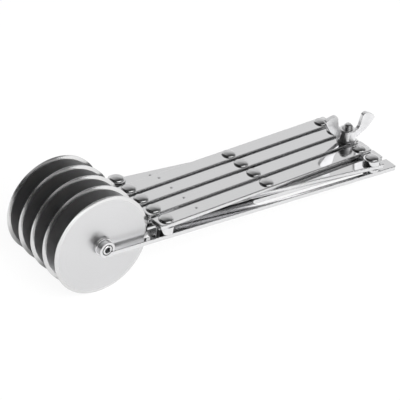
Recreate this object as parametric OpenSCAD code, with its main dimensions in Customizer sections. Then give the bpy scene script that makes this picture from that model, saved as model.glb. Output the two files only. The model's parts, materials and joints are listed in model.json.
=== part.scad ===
// Expandable dough cutter: five cutting wheels on parallel arms, spread by a lazy-tongs
// linkage of riveted strips and locked by a wing nut. Modelled as it lies on a worktop,
// wheels to the left (-X), tails of the arms to the right (+X), millimetres.

/* [Wheels] */
// Diameter of a cutting wheel
wheel_d = 55; // [40:1:70]
// Thickness of a wheel's disc
wheel_t = 1.4; // [1:0.1:2]
// Width of the bevel ground round the rim
bevel_w = 1.8; // [0.8:0.1:3]
// Thickness left at the cutting edge
edge_t = 0.3; // [0.1:0.1:0.6]

/* [Linkage] */
// Distance between the end pivots of a strip
link_l = 138; // [128:1:170]
// Width of the strips and arms
strip_w = 9; // [8.4:0.1:9.6]
// Thickness of the sheet for strips and arms
sheet_t = 2.5; // [2:0.1:3]
// Length of a strip beyond its end pivot
strip_end = 6; // [5:0.1:7]
// Radius along the rolled edges of the strips
edge_r = 0.4; // [0.2:0.1:0.7]
// Size of the clipped corners
corner_clip = 0.8; // [0.4:0.1:1.5]
// Diameter of the punch mark on each strip
mark_d = 1.8; // [0.8:0.1:2.2]
// Distance of the punch mark from the front pivot
mark_x = 20.5; // [12:0.5:40]

/* [Spacing] */
// Distance from wheel to wheel as the tool lies
spacing = 11.1; // [11:0.1:20]
// Distance from wheel to wheel when pushed shut
spacing_min = 10; // [9.8:0.1:10.8]
// Angle between the strips and the arms when pulled open
angle_max = 63; // [50:1:66]

/* [Arms] */
// Distance from the front pivot to the arm's shoulder
shoulder_l = 7.9; // [7:0.1:16]
// Length of an arm behind its shut rear pivot
arm_tail = 15; // [13:0.5:20]
// Width of the neck that carries the eye
neck_w = 3; // [2.4:0.1:3.6]
// Room between the wheel's rim and the arm's shoulder
shoulder_gap = 2.6; // [1.5:0.1:4]
// Opening left between the curled end of the eye and the arm
curl_gap = 0.3; // [0.2:0.1:0.6]

/* [Pivots] */
// Diameter of the rivets and of the lock bolt
pivot_d = 5; // [4.4:0.1:5.4]
// Diameter of the rivet heads
head_d = 7.9; // [6.8:0.1:8.2]
// Height of the domed heads on top
head_h = 1.8; // [1:0.1:2.4]
// Height of the low heads underneath
foot_h = 1.2; // [0.8:0.05:1.3]
// Outer diameter of the pivot spacers
spacer_d = 9.6; // [8:0.1:9.6]
// Height of the spacers between linkage and arms
spacer_h = 1.5; // [1.5:0.1:2.5]

/* [Axles] */
// Diameter of an axle
axle_d = 3.4; // [2.8:0.1:4]
// Diameter of the spacer beside a wheel
hub_d = 10; // [8:0.5:14]
// Length of the spacer beside a wheel
hub_l = 1.6; // [1:0.1:2]
// Diameter of the rolled end that shows outside the eye
flare_d = 5; // [4.4:0.1:6]
// Height of the rolled end
flare_h = 0.25; // [0.1:0.05:0.3]
// Diameter of the axle's head behind the wheel
axle_head_d = 7.6; // [6:0.1:9]
// Height of the axle's head
axle_head_h = 1.2; // [0.8:0.1:1.4]

/* [Wing nut] */
// Diameter of the hub at its foot
nut_d = 10; // [9:0.1:11]
// Diameter of the hub at its top
nut_top_d = 8; // [7.4:0.1:9]
// Height of the hub
nut_h = 6.3; // [5:0.1:8]
// Span over both wings
wing_span = 30.6; // [24:0.2:34]
// Height of the wings above the foot of the hub
wing_h = 15.6; // [12:0.1:18]
// Thickness of the wings
wing_t = 2.5; // [1.6:0.1:3]
// Turn of the wings from the arms' direction
wing_turn = -12; // [-90:1:90]
// Thickness of the washer under the nut
washer_t = 0.8; // [0.5:0.1:1.2]
// Diameter of the washer under the nut
washer_d = 11; // [10:0.1:12]
// Length of the bolt above the nut
bolt_end = 3; // [1:0.1:5]
// Diameter of the bolt's head under the arm
bolt_head_d = 8.8; // [8:0.1:9.4]

/* [Hidden] */
$fn = 64;
// Radial clearance of a shaft in its hole
run_gap = 0.05;
// Clearance of a shank on each side of its slot
slot_gap = 0.1;
// Axial play of a wheel on each side
side_play = 0.05;
// Play between faces of the linkage that slide on each other
face_play = 0.04;
// Overrun of every cut past the face that it cuts
over = 1;
// Overlap of the curled eye and the straight arm where they meet
eye_lap = 0.2;
// How far the curled eye stands proud of the sheet all round
eye_proud = 0.05;

rows = [1 : 5];
links = [1 : 4];
middle_row = 3;
rear_rivet_rows = [1, 2, 4, 5];

// The angle of the strips and the reach from front pivots to rear pivots
open_angle = asin(spacing / link_l);
reach = link_l * cos(open_angle);
reach_shut = sqrt(link_l * link_l - spacing_min * spacing_min);
reach_open = link_l * cos(angle_max);

// Layers, measured from the axle: arm, spacer, lower strip, upper strip
eye_r = axle_d / 2 + run_gap;
arm_top = -eye_r - eye_proud;
arm_z = arm_top - sheet_t;
curl_r = -arm_z + eye_proud;
lower_z = arm_top + spacer_h + face_play;
lower_top = lower_z + sheet_t;
upper_z = lower_top + face_play;
linkage_top = upper_z + sheet_t;

// Stations across an arm: outer face of the eye, side of the neck, hub spacer, wheel, axle head
outer_y = -strip_w / 2 - eye_proud;
neck_y = -strip_w / 2 + neck_w;
hub_y = neck_y + eye_proud;
wheel_y = hub_y + hub_l + side_play;
axle_head_y = wheel_y + wheel_t + side_play;

wheel_r = wheel_d / 2;
wheel_reach = shoulder_l + shoulder_gap + wheel_r;
arm_end_x = reach_shut + arm_tail;

// The tool lies on its wheels and on the lower edges of the arms' tails
lie_l = arm_end_x + wheel_reach;
lie_angle = asin(wheel_r / sqrt(lie_l * lie_l + arm_z * arm_z)) - atan2(-arm_z, lie_l);
lie_z = wheel_r - wheel_reach * sin(lie_angle);

// Shares of the axle's diameter for the hollow in its rolled end, of the foot's height for the bolt's head
funnel_mouth_share = 0.9;
funnel_end_share = 0.6;
bolt_head_share = 1.25;

// The slot runs half a bolt past both stations of the rear pivot, as room for the bolt's square neck
slot_r = pivot_d / 2 + slot_gap;
slot_front_x = reach_open - pivot_d / 2;
slot_rear_x = reach_shut + pivot_d / 2;
bore_r = pivot_d / 2 + run_gap;
neck_angle = asin((-arm_top - curl_gap) / curl_r);
mark_depth = mark_d / 3;
funnel_d = funnel_mouth_share * axle_d;
funnel_end_d = funnel_end_share * axle_d;
funnel_h = axle_d / 2;
bolt_head_h = bolt_head_share * foot_h;
bolt_point = pivot_d / 12;
nut_z = linkage_top + washer_t + 2 * face_play;
bolt_top = nut_z + nut_h + bolt_end;

// Wing outline: discs as shares of the half span and of the wings' height, radii as shares of the half span
wing_root_share = [0.28, 0.19, 0.13];
wing_bend_share = [0.61, 0.41, 0.20];
wing_tip_share = [0.845, 0.75, 0.155];
wing_brow_share = [0.60, 0.90, 0.10];
wing_fn = 32;
half_span = wing_span / 2;

// The tool is centred between the wheels' rims and the farther of the arms' tails and the wing's tip
tip_along = cos(lie_angle) * abs(cos(wing_turn));
tip_mid_x = wing_tip_share[0] * half_span * tip_along;
tip_mid_z = nut_z + wing_tip_share[1] * wing_h;
tip_round = wing_tip_share[2] * half_span * norm([tip_along, sin(lie_angle)]);
tip_side = wing_t / 2 * cos(lie_angle) * abs(sin(wing_turn));
tip_x = reach * cos(lie_angle) + tip_mid_z * sin(lie_angle) + tip_mid_x + tip_round + tip_side;
tail_x = arm_end_x * cos(lie_angle) + arm_top * sin(lie_angle);
front_x = -wheel_reach * cos(lie_angle) - wheel_r;
lie_x = -(front_x + max(tail_x, tip_x)) / 2;

// Place of a row across the tool: row 1 is farthest (+Y), row 5 nearest (-Y)
function row_y(i) = (middle_row - i) * spacing;

// Lays the linkage frame on the worktop
module placed() {
    translate([lie_x, 0, lie_z])
        rotate([0, lie_angle, 0])
            children();
}

module at_front(i) {
    placed()
        translate([0, row_y(i), 0])
            children();
}

module at_mid(i) {
    placed()
        translate([reach / 2, (row_y(i) + row_y(i + 1)) / 2, 0])
            children();
}

module at_rear(i) {
    placed()
        translate([reach, row_y(i), 0])
            children();
}

// Cross-section of the rolled sheet: a rectangle with rounded corners
module sheet_section(w, t) {
    translate([edge_r, 0])
        square([w - 2 * edge_r, t]);
    translate([0, edge_r])
        square([w, t - 2 * edge_r]);
    for (x = [edge_r, w - edge_r])
        for (y = [edge_r, t - edge_r])
            translate([x, y])
                circle(edge_r);
}

// Flat outline with clipped corners, from x0 to x1 along the strip
module clipped_outline(x0, x1) {
    half = strip_w / 2;
    polygon([
        [x0 + corner_clip, -half], [x1 - corner_clip, -half], [x1, -half + corner_clip],
        [x1, half - corner_clip], [x1 - corner_clip, half], [x0 + corner_clip, half],
        [x0, half - corner_clip], [x0, -half + corner_clip]]);
}

// A length of sheet along X with rolled long edges, standing on z = 0
module bar(x0, x1) {
    translate([x0, -strip_w / 2, 0])
        rotate([90, 0, 90])
            linear_extrude(x1 - x0)
                sheet_section(strip_w, sheet_t);
}

// One strip of the linkage, its front pivot at the origin
module strip() {
    difference() {
        intersection() {
            bar(-strip_end, link_l + strip_end);
            translate([0, 0, -over])
                linear_extrude(sheet_t + 2 * over)
                    clipped_outline(-strip_end, link_l + strip_end);
        }
        for (x = [0, link_l / 2, link_l])
            translate([x, 0, -over])
                cylinder(r = bore_r, h = sheet_t + 2 * over);
        translate([mark_x, 0, sheet_t - mark_depth])
            cylinder(d1 = 0, d2 = 2 * mark_d, h = 2 * mark_depth);
    }
}

module upper_strip(i) {
    color("gainsboro")
        at_front(i + 1)
            translate([0, 0, upper_z])
                rotate([0, 0, open_angle])
                    strip();
}

module lower_strip(i) {
    color("lightgray")
        at_front(i)
            translate([0, 0, lower_z])
                rotate([0, 0, -open_angle])
                    strip();
}

// The end of the arm curled into an eye round the axle, starting under the axle
module eye() {
    translate([-wheel_reach, hub_y, 0])
        rotate([90, 0, 0])
            rotate([0, 0, -neck_angle])
                rotate_extrude(angle = 270 + neck_angle)
                    translate([eye_r, 0])
                        square([curl_r - eye_r, hub_y - outer_y]);
}

// The slot that lets a rear pivot travel along the arm
module slot() {
    for (x = [slot_front_x, slot_rear_x])
        translate([x, 0, arm_z - over])
            cylinder(r = slot_r, h = sheet_t + 2 * over);
    translate([slot_front_x, -slot_r, arm_z - over])
        cube([slot_rear_x - slot_front_x, 2 * slot_r, sheet_t + 2 * over]);
}

module arm(i) {
    color("gainsboro")
        at_front(i)
            difference() {
                union() {
                    eye();
                    intersection() {
                        translate([0, 0, arm_z])
                            bar(-wheel_reach - eye_lap, arm_end_x);
                        translate([0, 0, arm_z - over])
                            linear_extrude(sheet_t + 2 * over)
                                clipped_outline(-wheel_reach - 2 * corner_clip, arm_end_x);
                    }
                }
                translate([-wheel_reach - over, neck_y, arm_z - over])
                    cube([wheel_reach - shoulder_l + over, strip_w, sheet_t + 2 * over]);
                translate([0, 0, arm_z - over])
                    cylinder(r = bore_r, h = sheet_t + 2 * over);
                slot();
            }
}

module wheel(i) {
    color("whitesmoke")
        at_front(i)
            translate([-wheel_reach, wheel_y, 0])
                rotate([-90, 0, 0])
                    rotate_extrude($fn = 180)
                        polygon([
                            [eye_r, 0], [wheel_r - bevel_w, 0], [wheel_r, (wheel_t - edge_t) / 2],
                            [wheel_r, (wheel_t + edge_t) / 2], [wheel_r - bevel_w, wheel_t],
                            [eye_r, wheel_t]]);
}

// A low dome of diameter d and height h, standing on z = 0
module dome(d, h) {
    ball_r = (d * d / 4 + h * h) / (2 * h);
    intersection() {
        translate([0, 0, h - ball_r])
            sphere(ball_r);
        cylinder(r = ball_r + over, h = h + over);
    }
}

// Tubular axle: rolled end outside the eye, plain shank, low head behind the wheel
module axle(i) {
    shank_l = axle_head_y - outer_y;
    color("silver")
        at_front(i)
            translate([-wheel_reach, outer_y, 0])
                rotate([-90, 0, 0])
                    difference() {
                        union() {
                            cylinder(d = axle_d, h = shank_l);
                            translate([0, 0, -flare_h])
                                cylinder(d1 = flare_d - 2 * flare_h, d2 = flare_d, h = flare_h);
                            translate([0, 0, shank_l])
                                dome(axle_head_d, axle_head_h);
                        }
                        translate([0, 0, -flare_h])
                            cylinder(d1 = funnel_d, d2 = funnel_end_d, h = funnel_h);
                    }
}

// A ring of outer diameter d round a shaft of diameter shaft_d
module ring(d, shaft_d, h) {
    difference() {
        cylinder(d = d, h = h);
        translate([0, 0, -over])
            cylinder(r = shaft_d / 2 + run_gap, h = h + 2 * over);
    }
}

module hub_spacer(i) {
    color("silver")
        at_front(i)
            translate([-wheel_reach, hub_y, 0])
                rotate([-90, 0, 0])
                    ring(hub_d, axle_d, hub_l);
}

// A rivet from its foot at z0 to the underside of its head at z1
module rivet(z0, z1) {
    translate([0, 0, z0])
        cylinder(d = pivot_d, h = z1 - z0);
    translate([0, 0, z1])
        dome(head_d, head_h);
    translate([0, 0, z0])
        mirror([0, 0, 1])
            dome(head_d, foot_h);
}

module front_rivet(i) {
    color("silver")
        at_front(i)
            rivet(arm_z, linkage_top + face_play);
}

module mid_rivet(i) {
    color("silver")
        at_mid(i)
            rivet(lower_z - face_play, linkage_top);
}

module rear_rivet(i) {
    color("silver")
        at_rear(i)
            rivet(arm_z - face_play, linkage_top);
}

// Spacers between linkage and arms: taller where a row has no lower strip
module front_spacer(i) {
    has_lower = i <= links[2];
    color("silver")
        at_front(i)
            translate([0, 0, arm_top])
                ring(spacer_d, pivot_d, (has_lower ? lower_z : upper_z) - face_play - arm_top);
}

module rear_spacer(i) {
    has_lower = i > links[0];
    color("silver")
        at_rear(i)
            translate([0, 0, arm_top + face_play])
                ring(spacer_d, pivot_d, (has_lower ? lower_z : upper_z) - 2 * face_play - arm_top);
}

// Spacers that take the place of a missing upper strip
module front_top_spacer() {
    color("silver")
        at_front(rows[0])
            translate([0, 0, upper_z])
                ring(spacer_d, pivot_d, sheet_t + face_play);
}

module rear_top_spacer() {
    color("silver")
        at_rear(rows[2])
            translate([0, 0, lower_top])
                ring(spacer_d, pivot_d, sheet_t + face_play);
}

// Carriage bolt: low head, square neck in the slot of the middle arm, plain shank
module lock_bolt() {
    foot_z = arm_z - face_play;
    color("silver")
        at_rear(middle_row) {
            translate([0, 0, foot_z])
                cylinder(d = pivot_d, h = bolt_top - bolt_point - foot_z);
            translate([0, 0, bolt_top - bolt_point])
                cylinder(d1 = pivot_d, d2 = pivot_d - 2 * bolt_point, h = bolt_point);
            translate([-pivot_d / 2, -pivot_d / 2, foot_z])
                cube([pivot_d, pivot_d, sheet_t - slot_gap]);
            translate([0, 0, foot_z])
                mirror([0, 0, 1])
                    dome(bolt_head_d, bolt_head_h);
        }
}

module lock_washer() {
    color("silver")
        at_rear(middle_row)
            translate([0, 0, linkage_top + face_play])
                ring(washer_d, pivot_d, washer_t);
}

// A disc of the wing's outline, given by shares of half span and height
module wing_disc(share) {
    translate([share[0] * half_span, wing_t / 2, share[1] * wing_h])
        rotate([90, 0, 0])
            cylinder(r = share[2] * half_span, h = wing_t, $fn = wing_fn);
}

module wing() {
    hull() {
        wing_disc(wing_root_share);
        wing_disc(wing_bend_share);
    }
    hull() {
        wing_disc(wing_bend_share);
        wing_disc(wing_tip_share);
        wing_disc(wing_brow_share);
    }
}

module wing_nut() {
    color("gainsboro")
        at_rear(middle_row)
            translate([0, 0, nut_z])
                rotate([0, 0, wing_turn])
                    difference() {
                        union() {
                            cylinder(d1 = nut_d, d2 = nut_top_d, h = nut_h);
                            wing();
                            rotate([0, 0, 180])
                                wing();
                        }
                        translate([0, 0, -over])
                            cylinder(r = bore_r, h = nut_h + 2 * over);
                    }
}

for (i = rows) {
    wheel(i);
    axle(i);
    hub_spacer(i);
    arm(i);
    front_rivet(i);
    front_spacer(i);
    rear_spacer(i);
}
for (i = links) {
    upper_strip(i);
    lower_strip(i);
    mid_rivet(i);
}
for (i = rear_rivet_rows)
    rear_rivet(i);
front_top_spacer();
rear_top_spacer();
lock_bolt();
lock_washer();
wing_nut();
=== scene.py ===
# %% [markdown]
# # An expandable dough cutter on a photographer's table
#
# This tool cuts a sheet of dough into even strips. Five steel wheels hang on five arms, and a lazy-tongs
# linkage of riveted strips keeps the gaps between them equal however far it is pulled apart. The shape of
# every piece, its place and its joints come from the CAD frame. This lesson adds what a drawing leaves out:
# rolled rims, the thread of the bolt, the soft edges of the pressed wing nut, and the way polished steel
# takes up the light of a white studio.

# %% Load the frame and keep its size
import json
import bmesh
import bpy
import numpy as np
from mathutils import Matrix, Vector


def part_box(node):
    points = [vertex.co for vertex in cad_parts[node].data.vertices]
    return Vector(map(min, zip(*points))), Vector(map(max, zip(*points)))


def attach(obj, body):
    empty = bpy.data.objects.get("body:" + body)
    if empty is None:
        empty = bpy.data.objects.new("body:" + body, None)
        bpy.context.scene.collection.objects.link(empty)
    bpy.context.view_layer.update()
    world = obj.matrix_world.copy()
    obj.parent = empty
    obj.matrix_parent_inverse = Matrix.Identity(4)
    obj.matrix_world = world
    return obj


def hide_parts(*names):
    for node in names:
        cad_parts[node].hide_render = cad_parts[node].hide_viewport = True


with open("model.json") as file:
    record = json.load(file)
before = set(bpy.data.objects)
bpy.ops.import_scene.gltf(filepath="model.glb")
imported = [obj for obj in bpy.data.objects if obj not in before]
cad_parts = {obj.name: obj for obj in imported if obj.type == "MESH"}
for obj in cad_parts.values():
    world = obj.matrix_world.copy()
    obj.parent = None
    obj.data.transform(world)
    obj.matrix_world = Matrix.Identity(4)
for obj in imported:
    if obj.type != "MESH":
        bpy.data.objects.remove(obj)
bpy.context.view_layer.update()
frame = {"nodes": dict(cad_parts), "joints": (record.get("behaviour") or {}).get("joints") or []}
print("pieces in the CAD frame:", len(frame["nodes"]))

# %% [markdown]
# ## Where the pivots are
#
# A maker measures from the pivots, so this cell collects them. Each joint of the frame stands on a pivot,
# and all the pivots of the linkage point the same way, a little off upright because the tool lies with its
# tails down. Rows are counted from the far side: row 1 holds the farthest wheel, row 5 the nearest, and the
# row in the middle carries the lock.

# %% Collect the pivots
MM = 0.001
lock_row = 3
joints = {joint["name"]: joint for joint in frame["joints"]}


def place_of(joint):
    """The point that a joint turns about, in metres."""
    return np.array(joints[joint]["pos_m"])


pivot_up = np.array(joints["spread"]["axis"])
across = np.array([0.0, 1.0, 0.0])
along = np.cross(across, pivot_up)
front = {row: place_of("spread" if row == lock_row else f"arm_{row}_swing") for row in range(1, 6)}
middle = {strip: place_of(f"{'lower' if strip < lock_row else 'upper'}_{strip}_swing")
          for strip in range(1, 5)}
to_rear = place_of("bolt_swing") - front[lock_row]
rear = {row: point + to_rear for row, point in front.items()}
axle = {row: place_of(f"wheel_{row}_roll") for row in front}
pivot_lean = np.degrees(np.arctan2(pivot_up[0], pivot_up[2]))
print("pivots lean by %.2f degrees, front to rear %.2f mm" % (pivot_lean, np.linalg.norm(to_rear) / MM))

# %% [markdown]
# ## Measuring the drawing
#
# A finished piece has to fit its drawing, so its main sizes are read from the frame and not written down a
# second time. Heights run along the pivots and start at the plane of the axles.

# %% Helpers for measuring
def points_of(node):
    """The corner points of a CAD piece as an array of one row per point."""
    mesh = frame["nodes"][node].data
    flat = np.empty(3 * len(mesh.vertices), np.float32)
    mesh.vertices.foreach_get("co", flat)
    return flat.reshape(-1, 3).astype(float)


def heights(node):
    """The lowest and the highest point of a CAD piece along the pivots."""
    level = (points_of(node) - front[lock_row]) @ pivot_up
    return level.min(), level.max()


def girth(node, centre):
    """The radius of the widest part of a CAD piece about the pivot through the given point."""
    away = points_of(node) - centre
    return np.linalg.norm(away - (away @ pivot_up)[:, None] * pivot_up, axis=1).max()


def foot_of(pivot):
    """The point where a pivot passes through the plane of the axles."""
    return pivot - pivot_up * ((pivot - front[lock_row]) @ pivot_up)


def ends_across(node):
    """The near and the far end of a CAD piece that lies across the tool."""
    near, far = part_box(node)
    return near[1], far[1]


print("lock bolt from %.2f to %.2f mm" % tuple(level / MM for level in heights("lock_bolt")))

# %% [markdown]
# ## Tools for making surfaces
#
# Every new piece is a grid of points, like cloth laid over a form: one direction runs along a profile, the
# other sweeps the profile round or along a path. Neighbouring points of the grid are joined into four-sided
# faces, so the whole surface is worked out at once and none of it is placed by hand.

# %% Helper for grids
def grid_faces(rows, columns, ring_rows=False, ring_columns=False):
    """Four-sided faces between neighbouring points of a grid; a ring joins its last line to its first."""
    row_starts = np.arange(rows if ring_rows else rows - 1)
    column_starts = np.arange(columns if ring_columns else columns - 1)
    row, column = np.meshgrid(row_starts, column_starts, indexing="ij")
    next_row = (row + 1) % rows
    next_column = (column + 1) % columns
    corners = [row * columns + column, row * columns + next_column,
               next_row * columns + next_column, next_row * columns + column]
    return np.stack(corners, axis=-1).reshape(-1, 4)


print("a grid of 3 by 4 points has %d faces" % len(grid_faces(3, 4)))

# %% [markdown]
# ## From grid to piece
#
# Steel has no open seams, so points that meet at seams and poles are welded into one, and all faces are
# turned outward. Soft bends shade smoothly, and edges sharper than a given angle stay crisp. Each new piece
# stands for one piece of the frame and moves with the same body.

# %% Helpers for pieces
weld_distance = 0.002 * MM


def make_piece(name, grids, material, sharp_angle=35):
    """One closed piece from a list of (points, faces): points are welded, faces turned outward, and edges
    sharper than the angle kept crisp."""
    points = [grid_points.reshape(-1, 3) for grid_points, corners in grids]
    starts = np.cumsum([0] + [len(group) for group in points[:-1]])
    faces = [corners + start for (grid_points, corners), start in zip(grids, starts)]
    mesh = bpy.data.meshes.new(name)
    mesh.from_pydata(np.concatenate(points).tolist(), [], np.concatenate(faces).tolist())
    work = bmesh.new()
    work.from_mesh(mesh)
    bmesh.ops.remove_doubles(work, verts=work.verts, dist=weld_distance)
    bmesh.ops.recalc_face_normals(work, faces=work.faces)
    work.to_mesh(mesh)
    work.free()
    mesh.shade_smooth()
    mesh.set_sharp_from_angle(angle=np.radians(sharp_angle))
    mesh.materials.append(material)
    piece = bpy.data.objects.new(name, mesh)
    bpy.context.scene.collection.objects.link(piece)
    return piece


def fit_in(piece, node, body):
    """The piece stands for a CAD piece, which is hidden, and moves with its body."""
    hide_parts(node)
    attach(piece, body)


print("points closer than %.3f mm are welded" % (weld_distance / MM))

# %% [markdown]
# ## A lathe
#
# Most pieces of this tool are turned. On a lathe the bar spins while the tool follows a profile, so a
# profile of radius and height, swept round the axis, gives the same surface. Sharp corners are broken with
# a file on the real piece, and softened here in the same places.

# %% Helpers for turning
def eased(corners, ease, steps=5):
    """A profile with softened corners: each corner is replaced by a small curve that leaves one neighbour
    line at the given distance before the corner and joins the other line at the same distance after it."""
    corner = np.array(corners, float)
    distance = np.array(ease, float)[:, None]
    back = np.roll(corner, 1, axis=0) - corner
    ahead = np.roll(corner, -1, axis=0) - corner
    leave = (corner + distance * back / np.linalg.norm(back, axis=1, keepdims=True))[:, None]
    join = (corner + distance * ahead / np.linalg.norm(ahead, axis=1, keepdims=True))[:, None]
    t = np.linspace(0, 1, steps)[None, :, None]
    curve = (1 - t) ** 2 * leave + 2 * t * (1 - t) * corner[:, None] + t ** 2 * join
    return curve.reshape(-1, 2)


def turned(profile, foot, up, side, columns=72, ring=False):
    """A lathe: each profile point (radius, height) sweeps a circle, so a surface point is foot plus height
    along the axis plus radius times the direction at the turning angle."""
    radius, height = np.asarray(profile).T
    angle = np.linspace(0, 2 * np.pi, columns, endpoint=False)
    spoke = np.cos(angle)[:, None] * side + np.sin(angle)[:, None] * np.cross(up, side)
    points = foot + height[:, None, None] * up + radius[:, None, None] * spoke
    return points, grid_faces(len(radius), columns, ring_rows=ring, ring_columns=True)


print("a softened square has %d profile points" % len(eased([(0, 0), (1, 0), (1, 1), (0, 1)], [0.1] * 4)))

# %% [markdown]
# ## Marks that work leaves in steel
#
# Polished stainless is never one flat colour. Rolling and polishing leave fine lines along a strip, turning
# leaves rings round a wheel, and handling leaves faint dull patches. Each mark is a small recipe of its own
# that gives a value over the surface, and the finishes further down decide what to do with it. First come
# the tools for writing a recipe.

# %% Helpers for recipes
VECTOR = "NodeSocketVector"
VALUE = "NodeSocketFloat"


def new_recipe(name, inputs, outputs):
    """An empty shader recipe with the named sockets, and its two ends."""
    recipe = bpy.data.node_groups.new(name, "ShaderNodeTree")
    for label, kind in inputs.items():
        recipe.interface.new_socket(label, in_out="INPUT", socket_type=kind)
    for label, kind in outputs.items():
        recipe.interface.new_socket(label, in_out="OUTPUT", socket_type=kind)
    return recipe, recipe.nodes.new("NodeGroupInput"), recipe.nodes.new("NodeGroupOutput")


def add(tree, kind, settings=None, values=None):
    """A shader node with its settings and the values of its input sockets."""
    node = tree.nodes.new(kind)
    for label, value in (settings or {}).items():
        setattr(node, label, value)
    for label, value in (values or {}).items():
        node.inputs[label].default_value = value
    return node


def wire(tree, *wires):
    """Connect nodes, each wire given as (node, its output, node, its input)."""
    for giver, output, taker, entry in wires:
        tree.links.new(giver.outputs[output], taker.inputs[entry])


print("helpers ready: new_recipe, add, wire")

# %% [markdown]
# ### Polish lines
#
# A strip is polished lengthwise on a belt, so every scratch runs along it. Noise that changes slowly along
# the grain and fast across it draws such lines.

# %% Recipe for polish lines
slow_per_metre = 18.0
fast_per_metre = 3200.0
lines, lines_in, lines_out = new_recipe(
    "polish_lines", {"Grain": VECTOR, "Across grain": VECTOR}, {"Lines": VALUE})
where = add(lines, "ShaderNodeTexCoord")
run = add(lines, "ShaderNodeVectorMath", {"operation": "DOT_PRODUCT"})
over = add(lines, "ShaderNodeVectorMath", {"operation": "DOT_PRODUCT"})
slow = add(lines, "ShaderNodeMath", {"operation": "MULTIPLY"}, {1: slow_per_metre})
fast = add(lines, "ShaderNodeMath", {"operation": "MULTIPLY"}, {1: fast_per_metre})
drawn = add(lines, "ShaderNodeCombineXYZ")
scratches = add(lines, "ShaderNodeTexNoise", {"noise_dimensions": "2D"},
                {"Scale": 1.0, "Detail": 3.0, "Roughness": 0.6})
wire(lines,
     (where, "Object", run, 0), (lines_in, "Grain", run, 1),
     (where, "Object", over, 0), (lines_in, "Across grain", over, 1),
     (run, "Value", slow, 0), (over, "Value", fast, 0),
     (slow, "Value", drawn, "X"), (fast, "Value", drawn, "Y"),
     (drawn, "Vector", scratches, "Vector"), (scratches, "Fac", lines_out, "Lines"))
print("lines are drawn out %.0f times longer than wide" % (fast_per_metre / slow_per_metre))

# %% [markdown]
# ### Turning rings
#
# A wheel is faced on a lathe and ground while it spins, so its marks are rings. This noise knows nothing
# but the distance from the axle's line. The distance itself is given too, for finishes that change with it.

# %% Recipe for turning rings
rings, rings_in, rings_out = new_recipe(
    "turning_rings", {"Axle": VECTOR}, {"Rings": VALUE, "Radius": VALUE})
where = add(rings, "ShaderNodeTexCoord")
offset = add(rings, "ShaderNodeVectorMath", {"operation": "SUBTRACT"})
flatten = add(rings, "ShaderNodeVectorMath", {"operation": "MULTIPLY"}, {1: (1.0, 0.0, 1.0)})
distance = add(rings, "ShaderNodeVectorMath", {"operation": "LENGTH"})
fine = add(rings, "ShaderNodeTexNoise", {"noise_dimensions": "1D"}, {"Scale": 2600.0, "Detail": 2.0})
wire(rings,
     (where, "Object", offset, 0), (rings_in, "Axle", offset, 1),
     (offset, "Vector", flatten, 0), (flatten, "Vector", distance, 0),
     (distance, "Value", fine, "W"), (fine, "Fac", rings_out, "Rings"),
     (distance, "Value", rings_out, "Radius"))
print("rings recipe gives:", [item.name for item in rings.interface.items_tree if item.in_out == "OUTPUT"])

# %% [markdown]
# ### Dull patches and cut sides
#
# Fingers and flour leave soft clouds, a few millimetres to a few centimetres wide, where the polish is a
# little duller. The sides of sheet, where shears cut it, are duller all over. The second recipe tells sides
# from flats: it gives 1 where the surface stands upright on the sheet's flat and 0 on the flat itself.

# %% Recipes for patches and sides
patches, patches_in, patches_out = new_recipe("handling_patches", {"Per metre": VALUE}, {"Patches": VALUE})
where = add(patches, "ShaderNodeTexCoord")
cloud = add(patches, "ShaderNodeTexNoise", {}, {"Detail": 4.0, "Roughness": 0.55})
keep = add(patches, "ShaderNodeMapRange", {}, {"From Min": 0.42, "From Max": 0.72})
wire(patches,
     (where, "Object", cloud, "Vector"), (patches_in, "Per metre", cloud, "Scale"),
     (cloud, "Fac", keep, "Value"), (keep, "Result", patches_out, "Patches"))

sheared, sheared_in, sheared_out = new_recipe("sheared_sides", {"Flat": VECTOR}, {"Side": VALUE})
surface = add(sheared, "ShaderNodeNewGeometry")
lean = add(sheared, "ShaderNodeVectorMath", {"operation": "DOT_PRODUCT"})
unsigned = add(sheared, "ShaderNodeMath", {"operation": "ABSOLUTE"})
upright = add(sheared, "ShaderNodeMapRange", {}, {"From Min": 0.8, "From Max": 0.2})
wire(sheared,
     (surface, "Normal", lean, 0), (sheared_in, "Flat", lean, 1),
     (lean, "Value", unsigned, 0), (unsigned, "Value", upright, "Value"),
     (upright, "Result", sheared_out, "Side"))
print("recipes:", [recipe.name for recipe in bpy.data.node_groups])

# %% [markdown]
# ## Steel finishes
#
# All the pieces are stainless steel, which mirrors a little over half of the light that meets it. What
# differs is the polish. Each finish lets its roughness and brightness follow the marks above, so that
# reflections break up a little, as they do on the real thing. A finish starts as bare metal, and recipes
# are placed in it.

# %% Helpers for finishes
def new_steel(name):
    """A bare metal finish, its node tree and its main shader."""
    finish = bpy.data.materials.new(name)
    finish.use_nodes = True
    tree = finish.node_tree
    tree.nodes.clear()
    steel = add(tree, "ShaderNodeBsdfPrincipled", {}, {"Metallic": 1.0})
    out = add(tree, "ShaderNodeOutputMaterial")
    wire(tree, (steel, "BSDF", out, "Surface"))
    return finish, tree, steel


def steel_grey(share):
    """The colour of steel that mirrors the given share of light, a trace bluer than neutral grey."""
    return share, share, 1.01 * share, 1.0


def use_recipe(tree, recipe, values):
    """A recipe placed in a finish, with the values of its inputs."""
    return add(tree, "ShaderNodeGroup", {"node_tree": recipe}, values)


print("polished steel:", steel_grey(0.6))

# %% [markdown]
# ### Mixing values and colours
#
# A mark is a number from 0 to 1, and a finish turns it into a roughness or a colour. One helper runs
# between two values, the other between two colours. Either end is fixed or comes from another node, so that
# one mark can lie on top of another.

# %% Helpers for mixing
def feed(tree, entry, source):
    """Give an input socket its source: a fixed value, a fixed colour or the output of another node."""
    if isinstance(source, bpy.types.NodeSocket):
        tree.links.new(source, entry)
    else:
        entry.default_value = source


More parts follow.
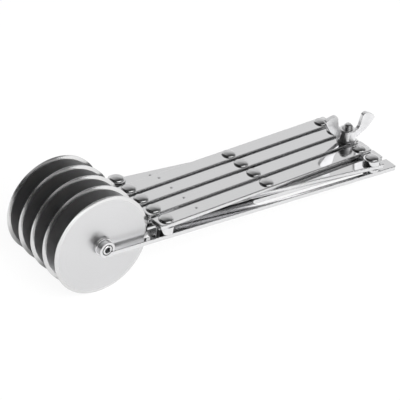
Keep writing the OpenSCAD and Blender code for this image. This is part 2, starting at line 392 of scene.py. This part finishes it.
def between(tree, factor, low, high):
    """A value that runs from low to high as the factor runs from 0 to 1."""
    span = add(tree, "ShaderNodeMapRange")
    for label, source in (("Value", factor), ("To Min", low), ("To Max", high)):
        feed(tree, span.inputs[label], source)
    return span.outputs["Result"]


def blended(tree, factor, first, second):
    """A colour that runs from the first to the second as the factor runs from 0 to 1."""
    mix = add(tree, "ShaderNodeMix", {"data_type": "RGBA"})
    colours = [entry for entry in mix.inputs if entry.type == "RGBA"]
    for entry, source in zip([mix.inputs[0]] + colours, (factor, first, second)):
        feed(tree, entry, source)
    return next(output for output in mix.outputs if output.type == "RGBA")


def wavering(tree, factor, share, contrast):
    """A steel colour whose share of mirrored light wavers by the contrast, lighter as the factor grows."""
    return blended(tree, factor, steel_grey(share * (1 - contrast)), steel_grey(share * (1 + contrast)))


print("helpers ready: feed, between, blended, wavering")

# %% [markdown]
# ### Dirt round an axle's lip
#
# Where the rolled lip of an axle sits on the eye of an arm, the gap between them lies in shade and shows as
# a dark ring. The ring has no thickness worth modelling, so it is painted shade in the colour: the distance
# from the axle's line tells where the steel turns dark.

# %% Helper for painted shade
# painted shade: the colour and widths of the dark ring in the gap at each axle's lip
lip_seat = 2.75 * MM
shade_ring_width = 0.35 * MM
shade_ring_core = 0.6 * shade_ring_width
painted_shade_colour = (0.04, 0.04, 0.04, 1.0)


def painted_shade_ring(tree, colour, axle_line):
    """The colour, with painted shade: dark in a narrow ring about an axle's line, just outside the lip of
    the axle.
    """
    away = use_recipe(tree, rings, {"Axle": tuple(axle_line)})
    offset = add(tree, "ShaderNodeMath", {"operation": "SUBTRACT"}, {1: lip_seat})
    gap = add(tree, "ShaderNodeMath", {"operation": "ABSOLUTE"})
    crevice = add(tree, "ShaderNodeMapRange", {}, {"From Min": shade_ring_width, "From Max": shade_ring_core})
    wire(tree, (away, "Radius", offset, 0), (offset, "Value", gap, 0), (gap, "Value", crevice, "Value"))
    return blended(tree, crevice.outputs["Result"], colour, painted_shade_colour)


print("painted shade ring lies from %.2f to %.2f mm off the axle's line" % (
    (lip_seat - shade_ring_width) / MM, (lip_seat + shade_ring_width) / MM))

# %% [markdown]
# ### Bright rolled sheet
#
# Strips and arms come from bright rolled sheet, nearly a mirror, with fine lines along the grain. Their cut
# sides are duller, and their edges are rolled over. The finish shades the edges of the strips wider than
# the drawing has them, because light shows a rolled edge before the eye can see its shape.

# %% Finish for sheet
sheet_share = 0.6
side_roughness = 0.2
ripple_depth = 0.01 * MM


def sheet_finish(name, grain, rolled_edge, eye=None):
    """Bright rolled sheet: lines along the grain, dull patches, duller sides, edges shaded as rolled over
    within the given distance, and a ring of painted shade about the eye's axle where there is one."""
    finish, tree, steel = new_steel(name)
    crosswise = np.cross(pivot_up, grain)
    mark = use_recipe(tree, lines, {"Grain": tuple(grain), "Across grain": tuple(crosswise)})
    dull = use_recipe(tree, patches, {"Per metre": 55.0})
    cut = use_recipe(tree, sheared, {"Flat": tuple(pivot_up)})
    colour = wavering(tree, mark.outputs["Lines"], sheet_share, contrast=0.03)
    if eye is not None:
        # painted shade: a dark ring where the axle's lip meets the eye
        colour = painted_shade_ring(tree, colour, eye)
    flat_roughness = between(tree, dull.outputs["Patches"], low=0.07, high=0.12)
    roughness = between(tree, cut.outputs["Side"], flat_roughness, side_roughness)
    feed(tree, steel.inputs["Base Color"], colour)
    feed(tree, steel.inputs["Roughness"], roughness)
    rolled = add(tree, "ShaderNodeBevel", {"samples": 8}, {"Radius": rolled_edge})
    ripple = add(tree, "ShaderNodeBump", {}, {"Strength": 0.02, "Distance": ripple_depth})
    wire(tree, (rolled, "Normal", ripple, "Normal"), (mark, "Lines", ripple, "Height"),
         (ripple, "Normal", steel, "Normal"))
    return finish


print("sheet mirrors %.0f percent of the light" % (100 * sheet_share))

# %% [markdown]
# ## Strips and arms
#
# The strips and arms are plain sheet with rolled edges and clipped corners, and the CAD frame already has
# those shapes exactly. They stay as they are and only get their finish. The grain follows each piece: the
# upper strips slant one way, the lower strips the other, and the arms run straight.

# %% Finish the sheet pieces of the frame
nearer = front[lock_row + 1]
opening = np.arcsin((front[lock_row] - nearer)[1] / np.linalg.norm(rear[lock_row] - nearer))
upper_grain = np.cos(opening) * along + np.sin(opening) * across
lower_grain = np.cos(opening) * along - np.sin(opening) * across
upper_sheet = sheet_finish("upper_strip_sheet", upper_grain, rolled_edge=1.2 * MM)
lower_sheet = sheet_finish("lower_strip_sheet", lower_grain, rolled_edge=1.2 * MM)
arm_sheet = sheet_finish("arm_sheet", along, rolled_edge=0.35 * MM, eye=axle[lock_row])
sheet_pieces = {f"upper_strip_{strip}": upper_sheet for strip in middle}
sheet_pieces.update({f"lower_strip_{strip}": lower_sheet for strip in middle})
sheet_pieces.update({f"arm_{row}": arm_sheet for row in front})
for node, finish in sheet_pieces.items():
    frame["nodes"][node].data.materials[0] = finish
print("strips open by %.2f degrees; sheet pieces: %d" % (np.degrees(opening), len(sheet_pieces)))

# %% [markdown]
# ## The finish of a wheel
#
# Wheels are ground satin, so their faces scatter light and show faint rings. The bevel at the rim is ground
# last, on a finer stone, and is smoother than the faces.

# %% Finish for wheels
near_corner, far_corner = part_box(f"wheel_{lock_row}")
wheel_radius = (far_corner - near_corner)[0] / 2
bevel_width = 1.8 * MM
bevel_colour = (0.55, 0.55, 0.55, 1.0)
bevel_roughness = 0.14


def wheel_finish(name):
    """Ground discs: satin faces with turning rings, and a smoother bevel from the face to the rim."""
    finish, tree, steel = new_steel(name)
    mark = use_recipe(tree, rings, {"Axle": tuple(axle[lock_row])})
    dull = use_recipe(tree, patches, {"Per metre": 70.0})
    bevel = add(tree, "ShaderNodeMath", {"operation": "GREATER_THAN"}, {1: wheel_radius - bevel_width})
    ripple = add(tree, "ShaderNodeBump", {}, {"Strength": 0.04, "Distance": ripple_depth})
    wire(tree, (mark, "Radius", bevel, 0), (mark, "Rings", ripple, "Height"),
         (ripple, "Normal", steel, "Normal"))
    face_colour = wavering(tree, mark.outputs["Rings"], share=0.55, contrast=0.05)
    face_roughness = between(tree, dull.outputs["Patches"], low=0.33, high=0.38)
    on_bevel = bevel.outputs["Value"]
    feed(tree, steel.inputs["Base Color"], blended(tree, on_bevel, face_colour, bevel_colour))
    feed(tree, steel.inputs["Roughness"], between(tree, on_bevel, face_roughness, bevel_roughness))
    return finish


wheel_steel = wheel_finish("ground_wheel")
print("wheels of %.1f mm with a bevel of %.1f mm" % (2 * wheel_radius / MM, bevel_width / MM))

# %% [markdown]
# ## Cutting wheels
#
# Each wheel is a disc turned from sheet and ground to a bevel on both sides, which leaves a narrow flat as
# the cutting edge. One profile swept round the axle gives the whole wheel, with the corners eased as a
# grinding stone eases them.

# %% Turn the wheels
lengthwise = np.array([1.0, 0.0, 0.0])
axle_bore = 1.75 * MM
half_edge = 0.15 * MM
face_radius = wheel_radius - bevel_width
wheel_ease = np.array([0.1, 0.12, 0.05, 0.05, 0.12, 0.1]) * MM
for row, centre in axle.items():
    near, far = ends_across(f"wheel_{row}")
    thick = far - near
    corners = [(axle_bore, 0), (face_radius, 0), (wheel_radius, thick / 2 - half_edge),
               (wheel_radius, thick / 2 + half_edge), (face_radius, thick), (axle_bore, thick)]
    foot = np.array([centre[0], near, centre[2]])
    grid = turned(eased(corners, wheel_ease), foot, across, lengthwise, columns=288, ring=True)
    wheel = make_piece(f"cutting_wheel_{row}", [grid], wheel_steel, sharp_angle=14)
    fit_in(wheel, f"wheel_{row}", f"wheel_{row}")
print("wheels are %.2f mm thick" % (thick / MM))

# %% [markdown]
# ## The finish of small parts
#
# Rivets and axles are tumbled in a drum with stones until they are bright, spacers are cut from bright bar,
# the bolt has a rolled thread, and the wing nut is pressed and plated. All wear unevenly, so roughness and
# brightness follow the same dull patches, smaller on the smaller pieces.

# %% Finishes for small parts
fresh = 1.02
worn = 0.94


def small_part_finish(name, share, smooth, rough, per_metre):
    """Tumbled or plated small parts: bright, with fine uneven wear between the two roughnesses."""
    finish, tree, steel = new_steel(name)
    dull = use_recipe(tree, patches, {"Per metre": per_metre}).outputs["Patches"]
    colour = blended(tree, dull, steel_grey(fresh * share), steel_grey(worn * share))
    feed(tree, steel.inputs["Base Color"], colour)
    feed(tree, steel.inputs["Roughness"], between(tree, dull, smooth, rough))
    return finish


rivet_steel = small_part_finish("tumbled_rivet", share=0.52, smooth=0.15, rough=0.23, per_metre=260.0)
axle_steel = small_part_finish("tumbled_axle", share=0.62, smooth=0.14, rough=0.22, per_metre=260.0)
spacer_steel = small_part_finish("turned_spacer", share=0.6, smooth=0.12, rough=0.2, per_metre=300.0)
bolt_steel = small_part_finish("rolled_bolt", share=0.52, smooth=0.2, rough=0.3, per_metre=300.0)
nut_steel = small_part_finish("plated_nut", share=0.66, smooth=0.28, rough=0.34, per_metre=180.0)
small_finishes = (rivet_steel, axle_steel, spacer_steel, bolt_steel, nut_steel)
print("finishes of small parts:", [finish.name for finish in small_finishes])

# %% [markdown]
# ## Axles
#
# An axle is a short tube. Its near end is spread with a punch over the arm's eye, which leaves a rolled lip
# round a dark funnel; its far end carries a low cap that keeps the wheel on. The profile runs from the
# bottom of the funnel over the lip, along the shank and over the cap back to the axis.

# %% Turn the axles
quarter_turn = np.pi / 2
shank_radius = 1.7 * MM
cap_radius = 3.8 * MM
cap_rise = 1.2 * MM
bend = np.linspace(0, quarter_turn, 13)
lip_corners = np.array([(0, 4.6), (1.4, 4.6), (1.4, 0.5), (1.7, 0.0), (2.1, 0.0), (2.4, 0.22), (2.5, 0.25),
                        (1.7, 0.25)]) * MM
lip_ease = np.array([0, 0.1, 0.2, 0.12, 0.15, 0.05, 0.02, 0]) * MM
for row, centre in axle.items():
    near, far = ends_across(f"axle_{row}")
    cap_start = far - near - cap_rise
    cap = np.stack([cap_radius * np.cos(bend), cap_start + cap_rise * np.sin(bend)], axis=1)
    profile = np.concatenate([eased(lip_corners, lip_ease), [(shank_radius, cap_start)], cap])
    foot = np.array([centre[0], near, centre[2]])
    pin = make_piece(f"rolled_axle_{row}", [turned(profile, foot, across, lengthwise)], axle_steel)
    fit_in(pin, f"axle_{row}", f"arm_{row}")
print("axles are %.2f mm long" % ((far - near) / MM))

# %% [markdown]
# ## Rivets
#
# The rivets join the strips. A rivet starts as a pin with a formed head, and its other end is spun over a
# washer or the last sheet until it is round as well. A spun head is fuller at its rim than a slice of a
# ball, so its profile is a quarter of an ellipse.

# %% Turn the rivets
rivet_radius = 2.5 * MM
head_rise = 1.8 * MM
foot_rise = 1.2 * MM


def rivet_profile(low, high, head_radius):
    """Foot, shank and head as (radius, height): quarter ellipses at both ends of a straight shank."""
    bend = np.linspace(0, quarter_turn, 21)
    out = head_radius * np.sin(bend)
    rise = np.cos(bend)
    under = np.stack([out, low + foot_rise * (1 - rise)], axis=1)
    shank = np.array([(rivet_radius, low + foot_rise), (rivet_radius, high - head_rise)])
    top = np.stack([out, high - head_rise + head_rise * rise], axis=1)[::-1]
    return np.concatenate([under, shank, top])


rear_body = {1: "upper_1", 2: "upper_2", lock_row: "lock_bolt", 4: "upper_4", 5: "lower_4"}
rivets = [(f"front_rivet_{row}", front[row], f"arm_{row}") for row in front]
rivets += [(f"mid_rivet_{strip}", middle[strip], f"upper_{strip}") for strip in middle]
rivets += [(f"rear_rivet_{row}", rear[row], body) for row, body in rear_body.items() if row != lock_row]
for node, centre, body in rivets:
    profile = rivet_profile(*heights(node), girth(node, centre))
    rivet = make_piece(f"spun_{node}", [turned(profile, foot_of(centre), pivot_up, along)], rivet_steel)
    fit_in(rivet, node, body)
print("rivets:", len(rivets))

# %% [markdown]
# ## Spacers and the washer
#
# Rings cut from bar hold the layers of the linkage apart, keep each wheel off its arm and spread the load
# of the wing nut. A parting tool leaves a small break on their corners, which catches the light. The hub
# spacers, which show beside the wheels, are rounded more.

# %% Turn the rings
pivot_bore = 2.55 * MM
hub_radius = 5 * MM


def ring_grid(inner, outer, low, high, foot, up, side, ease=0.15 * MM):
    """A ring with broken corners: a rectangle in (radius, height), eased and swept round the axis."""
    corners = [(inner, low), (outer, low), (outer, high), (inner, high)]
    return turned(eased(corners, np.full(4, ease)), foot, up, side, ring=True)


seats = [(f"front_spacer_{row}", front[row], f"arm_{row}") for row in front]
seats += [(f"rear_spacer_{row}", rear[row], body) for row, body in rear_body.items()]
seats += [("front_top_spacer", front[1], "arm_1"), ("rear_top_spacer", rear[5], "lower_4"),
          ("lock_washer", rear[lock_row], "lock_washer")]
ring_grids = []
for node, centre, body in seats:
    grid = ring_grid(pivot_bore, girth(node, centre), *heights(node), foot_of(centre), pivot_up, along)
    ring_grids.append((node, body, grid))
for row, centre in axle.items():
    near, far = (end - centre[1] for end in ends_across(f"hub_spacer_{row}"))
    grid = ring_grid(axle_bore, hub_radius, near, far, centre, across, lengthwise, ease=0.35 * MM)
    ring_grids.append((f"hub_spacer_{row}", f"arm_{row}", grid))
for node, body, grid in ring_grids:
    ring = make_piece(f"cut_{node}", [grid], spacer_steel)
    fit_in(ring, node, body)
print("rings:", len(ring_grids))

# %% [markdown]
# ## The lock bolt
#
# A carriage bolt has a low round head, a square neck that stops it from turning in the slot, and a rolled
# thread with a chamfer at the tip, so that the nut starts easily. Both ends are read from the drawing.

# %% Size the bolt
low, high = heights("lock_bolt")
pitch = 0.8 * MM
bolt_radius = 2.5 * MM
thread_depth = 0.42 * MM
tip_chamfer = 1.0 * MM
dome_radius = 4.4 * MM
dome_rise = 1.5 * MM
neck_top = low + 3.9 * MM
neck_corner = 1.32
ridge_slope = 1.3
crest_share = 0.15
print("bolt of %.1f mm with %.1f turns of thread" % (2 * bolt_radius / MM, (high - neck_top) / pitch))

# %% [markdown]
# ### The surface of the bolt
#
# The surface is one grid of height and angle, because a thread can't be turned from one profile. The radius
# follows a dome at the head, a square with clipped corners at the neck, and a ridge that climbs by one
# pitch per turn along the shank. The chamfer trims the ridge at the tip.

# %% Form the bolt
columns = 72
rows_per_turn = 12
angle = np.linspace(0, 2 * np.pi, columns, endpoint=False)
bend = np.linspace(0, quarter_turn, 15)
dome_rows = dome_radius * np.sin(bend)[:, None] * np.ones_like(angle)
square = 1 / np.maximum(np.abs(np.cos(angle)), np.abs(np.sin(angle)))
neck_row = bolt_radius * np.minimum(square, neck_corner)
thread_level = np.arange(neck_top, high, pitch / rows_per_turn)
climb = (thread_level[:, None] / pitch - angle / (2 * np.pi)) % 1
groove = thread_depth * np.clip(ridge_slope * np.abs(2 * climb - 1) - crest_share, 0, 1)
tip_radius = bolt_radius - tip_chamfer
thread_rows = np.minimum(bolt_radius - groove, tip_radius + high - thread_level[:, None])
tip_rows = np.stack([np.full(columns, tip_radius), np.zeros(columns)])
radius = np.concatenate([dome_rows, [neck_row, neck_row], thread_rows, tip_rows])
dome_level = low + dome_rise * (1 - np.cos(bend))
level = np.concatenate([dome_level, [low + dome_rise, neck_top], thread_level, [high, high]])
spoke = np.cos(angle)[:, None] * along + np.sin(angle)[:, None] * across
points = foot_of(rear[lock_row]) + level[:, None, None] * pivot_up + radius[:, :, None] * spoke
bolt_grid = (points, grid_faces(len(level), columns, ring_columns=True))
bolt = make_piece("threaded_bolt", [bolt_grid], bolt_steel, sharp_angle=50)
fit_in(bolt, "lock_bolt", "lock_bolt")
print("bolt: %d rows of %d points" % (len(level), columns))

# %% [markdown]
# ## The rails of the wing nut
#
# The wing nut is hot-pressed: a cone-shaped hub with a tapped hole, and two wings that lean outward, widen
# towards their tips and have soft edges from the die. Each wing is stretched between two rails, its lower
# outer edge and its upper inner edge. A rail is a handful of points, out from the axis and up from the
# washer, and a smooth curve runs through them.

# %% Draw the rails
outer_rail = np.array([(3.0, 2.4), (3.0, 0.5), (5.4, 1.0), (8.0, 2.9), (11.0, 5.5), (13.3, 8.6),
                       (14.8, 11.2), (15.2, 12.4), (14.3, 13.6), (12.1, 14.6)]) * MM
inner_rail = np.array([(3.0, 2.4), (3.0, 4.2), (4.0, 5.0), (5.6, 6.0), (6.5, 7.6), (6.9, 10.2),
                       (7.4, 13.0), (7.9, 14.6), (9.5, 15.5), (12.1, 14.6)]) * MM


def smooth_rail(rail, steps=8):
    """A curve through the rail's points: between two points it follows the cubic whose slopes are half the
    step between the neighbours on either side."""
    slope = (np.roll(rail, -1, axis=0) - np.roll(rail, 1, axis=0)) / 2
    slope[0] = rail[1] - rail[0]
    slope[-1] = rail[-1] - rail[-2]
    t = np.linspace(0, 1, steps, endpoint=False)[None, :, None]
    curve = (2 * t ** 3 - 3 * t ** 2 + 1) * rail[:-1, None]
    curve += (t ** 3 - 2 * t ** 2 + t) * slope[:-1, None]
    curve += (3 * t ** 2 - 2 * t ** 3) * rail[1:, None]
    curve += (t ** 3 - t ** 2) * slope[1:, None]
    return np.concatenate([curve.reshape(-1, 2), rail[-1:]])


outer_edge = smooth_rail(outer_rail)
inner_edge = smooth_rail(inner_rail)
wing_span = 2 * outer_edge[:, 0].max()
wing_height = inner_edge[:, 1].max()
print("wings: span %.1f mm, height %.1f mm" % (wing_span / MM, wing_height / MM))

# %% [markdown]
# ### The section of a wing
#
# The die leaves flat faces and rounded edges. At every step along the rails the wing's section is a rounded
# rectangle as thick as the metal, and a point close to each end of a rounding keeps the flat faces flat.

# %% Section of a wing
half_thick = 1.25 * MM
edge_round = 0.3 * MM
hold = 0.05 * MM


def plate_section(half_wide):
    """Rounded rectangles as (across the rails, through the metal), one per row: at each corner a quarter
    circle with a holding point on either side, so that the faces between the corners shade flat."""
    round_here = np.minimum(edge_round, half_wide)[:, None, None]
    quarter = np.linspace(0, quarter_turn, 7)
    arc = np.stack([np.cos(quarter), np.sin(quarter)], axis=1)
    arc = np.concatenate([arc[:1], arc, arc[-1:]])
    inset = np.zeros_like(arc)
    inset[0, 1] = -hold
    inset[-1, 0] = -hold
    far = np.stack([half_wide, np.full_like(half_wide, half_thick)], axis=1)[:, None]
    corner = far - round_here + round_here * arc + inset
    corner[..., 0] = np.maximum(corner[..., 0], 0)
    left = corner[:, ::-1] * (-1, 1)
    return np.concatenate([corner, left, -corner, -left], axis=1)


rail_step = outer_edge - inner_edge
rail_gap = np.linalg.norm(rail_step, axis=1, keepdims=True)
section = plate_section(rail_gap[:, 0] / 2)
print("wing: %d sections of %d points" % section.shape[:2])

# %% [markdown]
# ### The wing nut in one piece
#
# Each section lies between the two rails, halfway from one to the other. The second wing is the first one
# turned by half a turn, and the hub is turned on the lathe.

# %% Press the wing nut
smallest_gap = 1e-6 * MM
wing_turn = np.radians(-12)
wing_way = np.cos(wing_turn) * along + np.sin(wing_turn) * across
wing_side = np.cross(pivot_up, wing_way)
nut_foot = foot_of(rear[lock_row]) + heights("wing_nut")[0] * pivot_up
rail_way = rail_step / np.maximum(rail_gap, smallest_gap)
flat = ((outer_edge + inner_edge) / 2)[:, None] + section[..., :1] * rail_way[:, None]
wing_faces = grid_faces(*flat.shape[:2], ring_columns=True)
wings = []
for way in (1, -1):
    points = nut_foot + way * flat[..., :1] * wing_way + flat[..., 1:] * pivot_up
    wings.append((points + way * section[..., 1:] * wing_side, wing_faces))
hub_corners = np.array([(2.55, 0.4), (2.95, 0), (5, 0), (5.2, 0.7), (4.4, 6.3), (3.2, 6.3),
                        (2.55, 5.7)]) * MM
hub_ease = np.array([0.1, 0.1, 0.2, 0.2, 0.35, 0.1, 0.1]) * MM
hub_grid = turned(eased(hub_corners, hub_ease), nut_foot, pivot_up, wing_way, columns=96, ring=True)
nut = make_piece("pressed_wing_nut", [hub_grid] + wings, nut_steel, sharp_angle=40)
fit_in(nut, "wing_nut", "wing_nut")
print("wing nut: %d faces" % len(nut.data.polygons))

# %% [markdown]
# ## The table
#
# The tool lies on white paper. The camera sees the paper almost as pure white, as in a catalogue, while the
# steel sees it lit and shaded as it is, so the gaps between the wheels stay dark.

# %% Lay the table
table_half = 4
paper_white = 0.86
camera_glow = 0.94
table_mesh = bpy.data.meshes.new("white_table")
table_corners = [(x * table_half, y * table_half, 0) for x, y in ((-1, -1), (1, -1), (1, 1), (-1, 1))]
table_mesh.from_pydata(table_corners, [], [(0, 1, 2, 3)])
table = bpy.data.objects.new("white_table", table_mesh)
bpy.context.scene.collection.objects.link(table)
paper = bpy.data.materials.new("white_paper")
paper.use_nodes = True
paper_tree = paper.node_tree
paper_tree.nodes.clear()
matt = add(paper_tree, "ShaderNodeBsdfDiffuse", {}, {"Color": (paper_white, paper_white, paper_white, 1.0)})
glow = add(paper_tree, "ShaderNodeEmission", {}, {"Color": (1.0, 1.0, 1.0, 1.0), "Strength": 1.0})
ray = add(paper_tree, "ShaderNodeLightPath")
share = add(paper_tree, "ShaderNodeMath", {"operation": "MULTIPLY"}, {1: camera_glow})
blend = add(paper_tree, "ShaderNodeMixShader")
out = add(paper_tree, "ShaderNodeOutputMaterial")
wire(paper_tree,
     (ray, "Is Camera Ray", share, 0), (share, "Value", blend, 0), (matt, "BSDF", blend, 1),
     (glow, "Emission", blend, 2), (blend, "Shader", out, "Surface"))
table_mesh.materials.append(paper)
print("table of %d by %d metres" % (2 * table_half, 2 * table_half))

# %% [markdown]
# ## The room
#
# Polished steel looks like its surroundings, so the studio matters as much as the finish. A studio has
# walls, curtains and softboxes. Here they are painted on the sky, as values that depend on the direction
# one looks in, because soft reflections need no sharper room than that.

# %% Helpers for the room
room = bpy.data.worlds.new("studio")
bpy.context.scene.world = room
room.use_nodes = True
room_tree = room.node_tree
room_tree.nodes.clear()
look = add(room_tree, "ShaderNodeTexCoord")


def look_towards(way, start, full, low, high):
    """A value over the room: low where one looks away from the given way, high where one looks along it,
    changing smoothly as the cosine of the angle between them goes from start to full."""
    facing = add(room_tree, "ShaderNodeVectorMath", {"operation": "DOT_PRODUCT"}, {1: way})
    amount = add(room_tree, "ShaderNodeMapRange", {"interpolation_type": "SMOOTHSTEP"},
                 {"From Min": start, "From Max": full, "To Min": low, "To Max": high})
    wire(room_tree, (look, "Generated", facing, 0), (facing, "Value", amount, "Value"))
    return amount.outputs["Result"]


def combined(operation, first, second):
    """Two values of the room multiplied or added."""
    both = add(room_tree, "ShaderNodeMath", {"operation": operation})
    feed(room_tree, both.inputs[0], first)
    feed(room_tree, both.inputs[1], second)
    return both.outputs["Value"]


print("room ready:", room.name)

# %% [markdown]
# ### Walls and softbox
#
# A bright wall stands behind the tool, which gives the strips their even grey. The room darkens towards the
# camera and the left, which draws dark lines along rounded edges and dark crescents on the rivets, and the
# ceiling is a little dimmer than the wall. One wide, low softbox in front brightens the wings of the nut
# and the necks of the arms, and puts a glint beside each crescent.

# %% Light the room
dark_left = look_towards((-0.94, 0.1, 0.0), start=0.2, full=0.45, low=1.0, high=0.1)
dark_front = look_towards((0.0, -1.0, 0.0), start=-0.66, full=0.15, low=1.0, high=0.17)
dim_ceiling = look_towards((0.0, 0.0, 1.0), start=0.5, full=0.8, low=1.0, high=0.65)
over_sill = look_towards((0.0, 0.0, 1.0), start=0.28, full=0.36, low=0.0, high=2.9)
under_top = look_towards((0.0, 0.0, 1.0), start=0.56, full=0.64, low=1.0, high=0.0)
ahead = look_towards((0.2, -0.98, 0.0), start=0.7, full=0.76, low=0.0, high=1.0)
softbox = combined("MULTIPLY", combined("MULTIPLY", over_sill, under_top), ahead)
walls = combined("MULTIPLY", combined("MULTIPLY", dark_left, dark_front), dim_ceiling)
sky = add(room_tree, "ShaderNodeBackground", {}, {"Color": (1.0, 1.0, 1.0, 1.0)})
out = add(room_tree, "ShaderNodeOutputWorld")
feed(room_tree, sky.inputs["Strength"], combined("ADD", walls, softbox))
wire(room_tree, (sky, "Background", out, "Surface"))
print("room:", len(room_tree.nodes), "nodes")

# %% [markdown]
# ## The lamp
#
# One large lamp above the camera lights the paper, with soft shadows. It is kept out of reflections, which
# belong to the room.

# %% Hang the lamp
lamp_data = bpy.data.lights.new("table_lamp", "AREA")
lamp_data.size = 1.2
lamp_data.energy = 62.5
lamp = bpy.data.objects.new("table_lamp", lamp_data)
bpy.context.scene.collection.objects.link(lamp)
lamp_place = Matrix.Translation((-0.2, -1.3, 1.4))
lamp_tilt = Matrix.Rotation(np.radians(42), 4, "X")
lamp.matrix_world = lamp_place @ lamp_tilt
lamp.visible_glossy = False
print("lamp of %.1f m at %.1f W" % (lamp_data.size, lamp_data.energy))

# %% [markdown]
# ## The camera
#
# The photograph was taken from the front left, about 35 degrees above the table, with a long lens that
# keeps the strips nearly parallel. The place and the lens were worked out from the pivots, the rim of the
# nearest wheel and the ends of the arms.

# %% Place the camera
view_turn = np.radians(-35.9242)
view_drop = np.radians(35.1128)
lens = bpy.data.cameras.new("photo_camera")
lens.lens = 177.667
lens.sensor_width = 36.0
lens.clip_end = 20.0
camera = bpy.data.objects.new("photo_camera", lens)
bpy.context.scene.collection.objects.link(camera)
camera_place = Matrix.Translation((-0.504319, -0.687313, 0.608226))
camera_aim = Matrix.Rotation(view_turn, 4, "Z") @ Matrix.Rotation(quarter_turn - view_drop, 4, "X")
camera.matrix_world = camera_place @ camera_aim
bpy.context.scene.camera = camera
bpy.context.scene.view_settings.view_transform = "Standard"
print("camera looks down by %.1f degrees" % np.degrees(view_drop))
